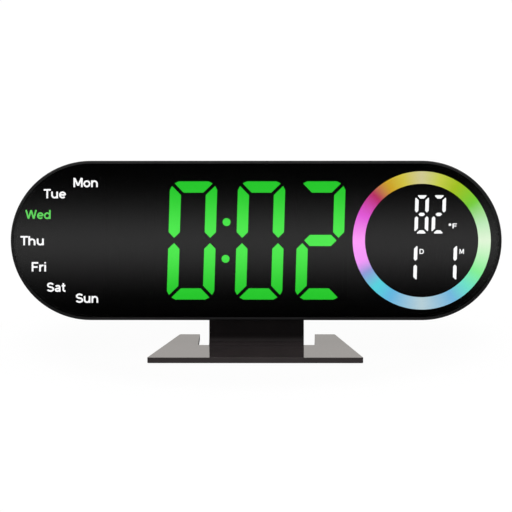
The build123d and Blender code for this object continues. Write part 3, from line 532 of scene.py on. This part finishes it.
def add_piece(name, shape, where, material, body):
    """Puts a shape in its place in the mesh of a new piece that rides on a body."""
    bmesh.ops.remove_doubles(shape, verts=shape.verts, dist=MERGE_DISTANCE)
    bmesh.ops.recalc_face_normals(shape, faces=shape.faces)
    bmesh.ops.transform(shape, matrix=where, verts=shape.verts)
    piece = make_object(name, shape, material)
    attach(piece, body)
    return piece


def flat_disc(radius, segments):
    """A flat face about the origin, round or with a few corners."""
    shape = bmesh.new()
    bmesh.ops.create_circle(shape, cap_ends=True, segments=segments, radius=radius)
    return shape


def thicken(shape, thickness):
    """Extrudes a flat face about the origin outwards into a thin plate."""
    made = bmesh.ops.extrude_face_region(shape, geom=shape.faces[:])
    moved = [item for item in made["geom"] if isinstance(item, bmesh.types.BMVert)]
    bmesh.ops.translate(shape, vec=(0, 0, thickness), verts=moved)


# Letters drawn as strokes in a box as tall as a capital

X_HEIGHT = 0.73
STEM_X = 0.1
STEM = [(STEM_X, 0.0), (STEM_X, 1.0)]
SHORT_STEM = [(STEM_X, 0.0), (STEM_X, X_HEIGHT)]

# A bow's steps in degrees, how far a bowl's bow turns each way, and where its straight runs end
BOW_STEP = 12
LEAST_BOW_STEPS = 4
BOWL_TURN = 84
BOWL_SHOULDER = 0.02

# A stroke whose ends are nearer than this is closed
CLOSED_GAP = 1e-6


def bow(x, y, across, tall, start, end):
    """Points along part of an ellipse, by its centre, its half sizes and two angles."""
    steps = max(LEAST_BOW_STEPS, round(abs(end - start) / BOW_STEP))
    turns = [radians(start + (end - start) * step / steps) for step in range(steps + 1)]
    return [(x + across * cos(turn), y + tall * sin(turn)) for turn in turns]


def bowl(x, y, across, tall):
    """The round of a capital, with straight runs back to its stem."""
    shoulder = x - BOWL_SHOULDER
    top = y + tall
    bottom = y - tall
    arc = bow(x, y, across, tall, BOWL_TURN, -BOWL_TURN)
    return [(STEM_X, top), (shoulder, top)] + arc + [(shoulder, bottom), (STEM_X, bottom)]


ARCH = bow(0.37, 0.38, 0.27, 0.27, 180, 0) + [(0.64, 0.0)]

# How far each letter reaches, and its strokes
LETTERS = {
    " ": (0.4, []),
    "5": (0.75, [
        [(0.2, 0.92), (0.66, 0.92)],
        [(0.2, 0.98), (0.17, 0.48)],
        bow(0.36, 0.33, 0.28, 0.25, 128, -150),
    ]),
    "A": (0.95, [[(0.08, 0.0), (0.46, 1.0)], [(0.88, 0.0), (0.5, 1.0)], [(0.22, 0.3), (0.74, 0.3)]]),
    "C": (0.95, [bow(0.47, 0.5, 0.37, 0.42, 40, 320)]),
    "D": (0.9, [STEM, bowl(0.42, 0.5, 0.34, 0.42)]),
    "E": (0.78, [
        STEM,
        [(STEM_X, 0.92), (0.68, 0.92)],
        [(STEM_X, 0.52), (0.62, 0.52)],
        [(STEM_X, 0.08), (0.7, 0.08)],
    ]),
    "F": (0.76, [STEM, [(STEM_X, 0.92), (0.68, 0.92)], [(STEM_X, 0.48), (0.6, 0.48)]]),
    "L": (0.74, [STEM, [(STEM_X, 0.08), (0.68, 0.08)]]),
    "M": (1.06, [
        STEM,
        [(0.9, 0.0), (0.9, 1.0)],
        [(0.14, 0.95), (0.5, 0.16)],
        [(0.5, 0.16), (0.86, 0.95)],
    ]),
    "N": (0.95, [STEM, [(0.8, 0.0), (0.8, 1.0)], [(0.13, 0.94), (0.77, 0.06)]]),
    "O": (1.0, [bow(0.48, 0.5, 0.38, 0.42, 0, 360)]),
    "P": (0.86, [STEM, bowl(0.44, 0.7, 0.27, 0.22)]),
    "R": (0.92, [STEM, bowl(0.44, 0.71, 0.27, 0.21), [(0.45, 0.5), (0.74, 0.0)]]),
    "S": (0.88, [bow(0.42, 0.72, 0.3, 0.2, 15, 260) + bow(0.42, 0.29, 0.32, 0.21, 80, -165)]),
    "T": (0.8, [[(0.02, 0.92), (0.76, 0.92)], [(0.39, 0.0), (0.39, 0.9)]]),
    "U": (0.95, [[(STEM_X, 1.0)] + bow(0.45, 0.4, 0.35, 0.32, 180, 360) + [(0.8, 1.0)]]),
    "V": (0.9, [[(0.06, 1.0), (0.43, 0.02)], [(0.43, 0.02), (0.8, 1.0)]]),
    "W": (1.28, [
        [(0.06, 1.0), (0.33, 0.03)],
        [(0.33, 0.03), (0.62, 0.97)],
        [(0.62, 0.97), (0.91, 0.03)],
        [(0.91, 0.03), (1.18, 1.0)],
    ]),
    "a": (0.76, [
        bow(0.34, 0.5, 0.24, 0.16, 150, 0) + [(0.58, 0.0)],
        bow(0.33, 0.21, 0.23, 0.14, 90, 270) + [(0.56, 0.14)],
        [(0.33, 0.35), (0.56, 0.4)],
    ]),
    "d": (0.84, [bow(0.37, 0.36, 0.28, 0.29, 0, 360), [(0.66, 0.0), (0.66, 1.0)]]),
    "e": (0.76, [bow(0.37, 0.36, 0.28, 0.29, 0, 318), [(0.1, 0.37), (0.65, 0.37)]]),
    "h": (0.84, [STEM, ARCH]),
    "i": (0.34, [SHORT_STEM, [(STEM_X, 0.86), (STEM_X, 1.0)]]),
    "n": (0.84, [SHORT_STEM, ARCH]),
    "o": (0.82, [bow(0.38, 0.36, 0.29, 0.29, 0, 360)]),
    "r": (0.52, [SHORT_STEM, bow(0.38, 0.38, 0.28, 0.27, 180, 90) + [(0.46, 0.65)]]),
    "t": (0.52, [
        [(0.22, 0.94), (0.22, 0.26)] + bow(0.38, 0.24, 0.16, 0.17, 190, 270) + [(0.46, 0.07)],
        [(0.04, 0.66), (0.44, 0.66)],
    ]),
    "u": (0.84, [
        [(STEM_X, X_HEIGHT)] + bow(0.37, 0.34, 0.27, 0.27, 180, 360),
        [(0.64, 0.0), (0.64, X_HEIGHT)],
    ]),
}


def stroked(words, weight):
    """Letters side by side as one shape of strokes, a capital one high."""
    curve = bpy.data.curves.new("letters", "CURVE")
    curve.dimensions = "3D"
    curve.bevel_depth = weight / 2
    curve.bevel_resolution = 0
    curve.use_fill_caps = True
    start = 0.0
    for letter in words:
        reach, strokes = LETTERS[letter]
        for stroke in strokes:
            closed = (Vector(stroke[0]) - Vector(stroke[-1])).length < CLOSED_GAP
            points = stroke[:-1] if closed else stroke
            spline = curve.splines.new("POLY")
            spline.points.add(len(points) - 1)
            spline.use_cyclic_u = closed
            for point, (x, y) in zip(spline.points, points):
                point.co = (start + x, y, 0, 1)
        start += reach
    carrier = bpy.data.objects.new("letters", curve)
    mesh = bpy.data.meshes.new_from_object(carrier)
    bpy.data.objects.remove(carrier)
    bpy.data.curves.remove(curve)
    shape = bmesh.new()
    shape.from_mesh(mesh)
    bpy.data.meshes.remove(mesh)
    return shape


def lettering(words, height, weight, thickness, width=None):
    """Thin letters about the origin, of a given height, weight of stroke and, if told, width."""
    shape = stroked(words, weight)
    low = Vector([min(vertex.co[axis] for vertex in shape.verts) for axis in range(3)])
    high = Vector([max(vertex.co[axis] for vertex in shape.verts) for axis in range(3)])
    size = high - low
    bmesh.ops.translate(shape, vec=-(low + high) / 2 + Vector((0, 0, size.z / 2)), verts=shape.verts)
    scale = height / size.y
    across = scale if width is None else width / size.x
    bmesh.ops.scale(shape, vec=(across, scale, thickness / size.z), verts=shape.verts)
    return shape


def shine(name, shape, node, finish, shift):
    """Puts a flat shape that shines on the front face of a light guide."""
    where = place(middle(node, RIGHT) + shift[0], span(node, BACK)[0], middle(node, UP) + shift[1])
    add_piece(name, shape, standing(where, FRONT), finish, "clock")


def weekday_words():
    """The seven days round the left end, today's in green."""
    for day, shift in WEEKDAYS.items():
        node = f"{day}_light_guide"
        width = 2 * half_reach(node, RIGHT) - 2 * WORD_MARGIN
        word = lettering(day.title(), WORD_HEIGHT, WORD_WEIGHT, LETTER_PROUD, width)
        if day == TODAY:
            shine(f"{day}_word", word, node, GREEN_WORD, shift)
        else:
            shine(f"{day}_word", word, node, FINISHES["white_light"], shift)


def unit_letters():
    """The small letters beside the day, the month and the temperature, and the degree dot."""
    white = FINISHES["white_light"]
    for name, (letter, shift) in UNIT_LETTERS.items():
        shape = lettering(letter, UNIT_HEIGHT, UNIT_WEIGHT, LETTER_PROUD, UNIT_WIDTH)
        shine(f"{name}_letter", shape, f"{name}_light_guide", white, shift)

    dot = flat_disc(DEGREE_RADIUS, DEGREE_SEGMENTS)
    thicken(dot, LETTER_PROUD)
    shine("degree_dot", dot, "degree_light_guide", white, DEGREE_SHIFT)


def rear_print(name, shape, x, height, body="clock"):
    """Puts a flat printed shape on the back."""
    where = place(x, REAR_FACE, height)
    add_piece(name, shape, standing(where, BACK), PRINT, body)


def label(node, words, name):
    """Words printed above a node on the back."""
    shape = lettering(words, LABEL_HEIGHT, LABEL_WEIGHT, PRINT_PROUD)
    rear_print(name, shape, middle(node, RIGHT), span(node, UP)[1] + LABEL_GAP)


def rear_labels():
    """What each rear button does, and the supply voltage above the power socket."""
    for name in BUTTONS:
        label(f"{name}_button", name.upper(), f"{name}_label")
    label("power_socket_shell", "DC 5V", "power_label")


def battery_marks():
    """A pointer on the battery door, with a dot where it locks and a ring where it lifts out."""
    x = middle("battery_door", RIGHT)
    height = middle("battery_door", UP)
    reach = half_reach("battery_door", RIGHT)
    away = reach + MARK_GAP

    pointer = flat_disc(POINTER_SIZE, segments=3)
    thicken(pointer, PRINT_PROUD)
    rear_print("door_pointer", pointer, x, height + reach - POINTER_INSET, "battery_door")

    dot = flat_disc(MARK_RADIUS, MARK_SEGMENTS)
    thicken(dot, PRINT_PROUD)
    rear_print("locked_mark", dot, x, height + away)

    ring = flat_disc(MARK_RADIUS, MARK_SEGMENTS)
    bmesh.ops.inset_region(ring, faces=ring.faces[:], thickness=MARK_STROKE, use_boundary=True)
    inner = max(ring.faces, key=lambda face: face.calc_area())
    bmesh.ops.delete(ring, geom=[inner], context="FACES")
    thicken(ring, PRINT_PROUD)
    turn = radians(DOOR_TURN)
    rear_print("open_mark", ring, x + away * sin(turn), height + away * cos(turn))


weekday_words()
unit_letters()
rear_labels()
battery_marks()


# Stage


def floor_paint():
    """White to the camera but for a trace of shadow; other rays get less of it towards the rim."""
    material = bpy.data.materials.new("pale_floor")
    material.use_nodes = True
    tree = material.node_tree
    tree.nodes.clear()
    away = add_node(tree, "ShaderNodeVectorMath", operation="DISTANCE")
    away.inputs[1].default_value = (0, FLOOR_BACK_SHIFT, cad_low.z)
    feed(tree, away.inputs[0], coordinate(tree, "Object"))
    nearness = fade(tree, away.outputs["Value"], FLOOR_RADIUS, FLOOR_RADIUS / 2)
    paint = add_node(tree, "ShaderNodeBsdfDiffuse")
    feed(tree, paint.inputs["Color"], ramp(tree, nearness, [(0.0, FLOOR_RIM), (1.0, FLOOR_PAINT)]))
    glow = add_node(tree, "ShaderNodeEmission")

    rays = add_node(tree, "ShaderNodeLightPath").outputs
    bright = fade(tree, nearness, 0.0, 1.0, 1.0, FLOOR_GLOW)
    seen = calculate(tree, "MULTIPLY", rays["Is Camera Ray"], bright)
    mirrored = calculate(tree, "MAXIMUM", rays["Is Glossy Ray"], rays["Is Transmission Ray"])
    share = calculate(tree, "ADD", seen, calculate(tree, "MULTIPLY", mirrored, nearness))
    mixed = add_node(tree, "ShaderNodeMixShader")
    for number, source in enumerate((share, paint.outputs[0], glow.outputs[0])):
        feed(tree, mixed.inputs[number], source)
    output = add_node(tree, "ShaderNodeOutputMaterial")
    feed(tree, output.inputs["Surface"], mixed.outputs[0])
    return material


def pale_floor():
    """A round floor under the stand."""
    shape = flat_disc(FLOOR_RADIUS, FLOOR_SEGMENTS)
    bmesh.ops.translate(shape, vec=(0, FLOOR_BACK_SHIFT, cad_low.z), verts=shape.verts)
    make_object("floor", shape, floor_paint())


def studio():
    """White behind and overhead, dim in front, with a long soft strip that the lens mirrors."""
    world = bpy.data.worlds.new("studio")
    world.use_nodes = True
    scene.world = world
    tree = world.node_tree
    tree.nodes.clear()
    direction = components(tree, coordinate(tree, "Generated"))
    behind = fade(tree, direction["Y"], *BEHIND_FADE)
    overhead = fade(tree, direction["Z"], *OVERHEAD_FADE)
    surround = calculate(tree, "MAXIMUM", behind, overhead)

    # The strip falls off above and below as a bell curve
    offset = calculate(tree, "SUBTRACT", direction["Z"], STRIP_HEIGHT)
    spread = calculate(tree, "DIVIDE", offset, STRIP_SPREAD)
    square = calculate(tree, "MULTIPLY", spread, spread)
    falloff = calculate(tree, "EXPONENT", calculate(tree, "MULTIPLY", square, -0.5))
    strip = calculate(tree, "MULTIPLY", falloff, STRIP_LEVEL)
    level = calculate(tree, "ADD", calculate(tree, "MAXIMUM", surround, strip), DIM_LEVEL)

    # The camera sees plain white, and the white round the object lights it a little warm
    rays = add_node(tree, "ShaderNodeLightPath").outputs
    background = add_node(tree, "ShaderNodeBackground")
    feed(tree, background.inputs["Strength"], calculate(tree, "MAXIMUM", level, rays["Is Camera Ray"]))
    unseen = calculate(tree, "SUBTRACT", surround, rays["Is Camera Ray"])
    feed(tree, background.inputs["Color"], ramp(tree, unseen, [(0.0, WHITE), (1.0, WARM_LIGHT)]))
    output = add_node(tree, "ShaderNodeOutputWorld")
    feed(tree, output.inputs["Surface"], background.outputs[0])


def soft_lamp():
    """A soft box in front and above, which lights the plate of the stand."""
    elevation = radians(LAMP_ELEVATION)
    data = bpy.data.lights.new("soft_box", "AREA")
    data.shape = "RECTANGLE"
    data.size = LAMP_WIDTH
    data.size_y = LAMP_DEPTH
    data.energy = LAMP_POWER
    lamp = bpy.data.objects.new("soft_box", data)
    scene.collection.objects.link(lamp)
    away = Vector((0, -cos(elevation), sin(elevation)))
    lamp.location = away * LAMP_DISTANCE
    lamp.rotation_mode = "QUATERNION"
    lamp.rotation_quaternion = (-away).to_track_quat("-Z", "Y")


def photograph_camera():
    """A long lens at the photograph's angle, level with the clock and framed on its middle."""
    azimuth = radians(CAMERA_AZIMUTH)
    elevation = radians(CAMERA_ELEVATION)
    away = Vector((sin(azimuth) * cos(elevation), -cos(azimuth) * cos(elevation), sin(elevation)))
    data = bpy.data.cameras.new("camera")
    data.sensor_width = SENSOR_WIDTH
    data.lens = SENSOR_WIDTH * CAMERA_DISTANCE / PICTURE_WIDTH
    data.clip_end = 4 * CAMERA_DISTANCE
    camera = bpy.data.objects.new("camera", data)
    scene.collection.objects.link(camera)
    scene.camera = camera
    level = (RIGHT - away * RIGHT.dot(away)).normalized()
    turn = Matrix((level, away.cross(level), away)).transposed().to_quaternion()
    pixel = PICTURE_WIDTH / IMAGE_SIZE
    across = (IMAGE_SIZE / 2 - CLOCK_PIXEL[0]) * pixel
    upwards = (CLOCK_PIXEL[1] - IMAGE_SIZE / 2) * pixel
    face = place(middle("front_housing", RIGHT), span("front_lens", BACK)[0], FACE_HEIGHT)
    camera.rotation_mode = "QUATERNION"
    camera.rotation_quaternion = turn
    camera.location = face + away * CAMERA_DISTANCE + turn @ Vector((across, upwards, 0))


pale_floor()
studio()
soft_lamp()
photograph_camera()
scene.view_settings.view_transform = "Standard"
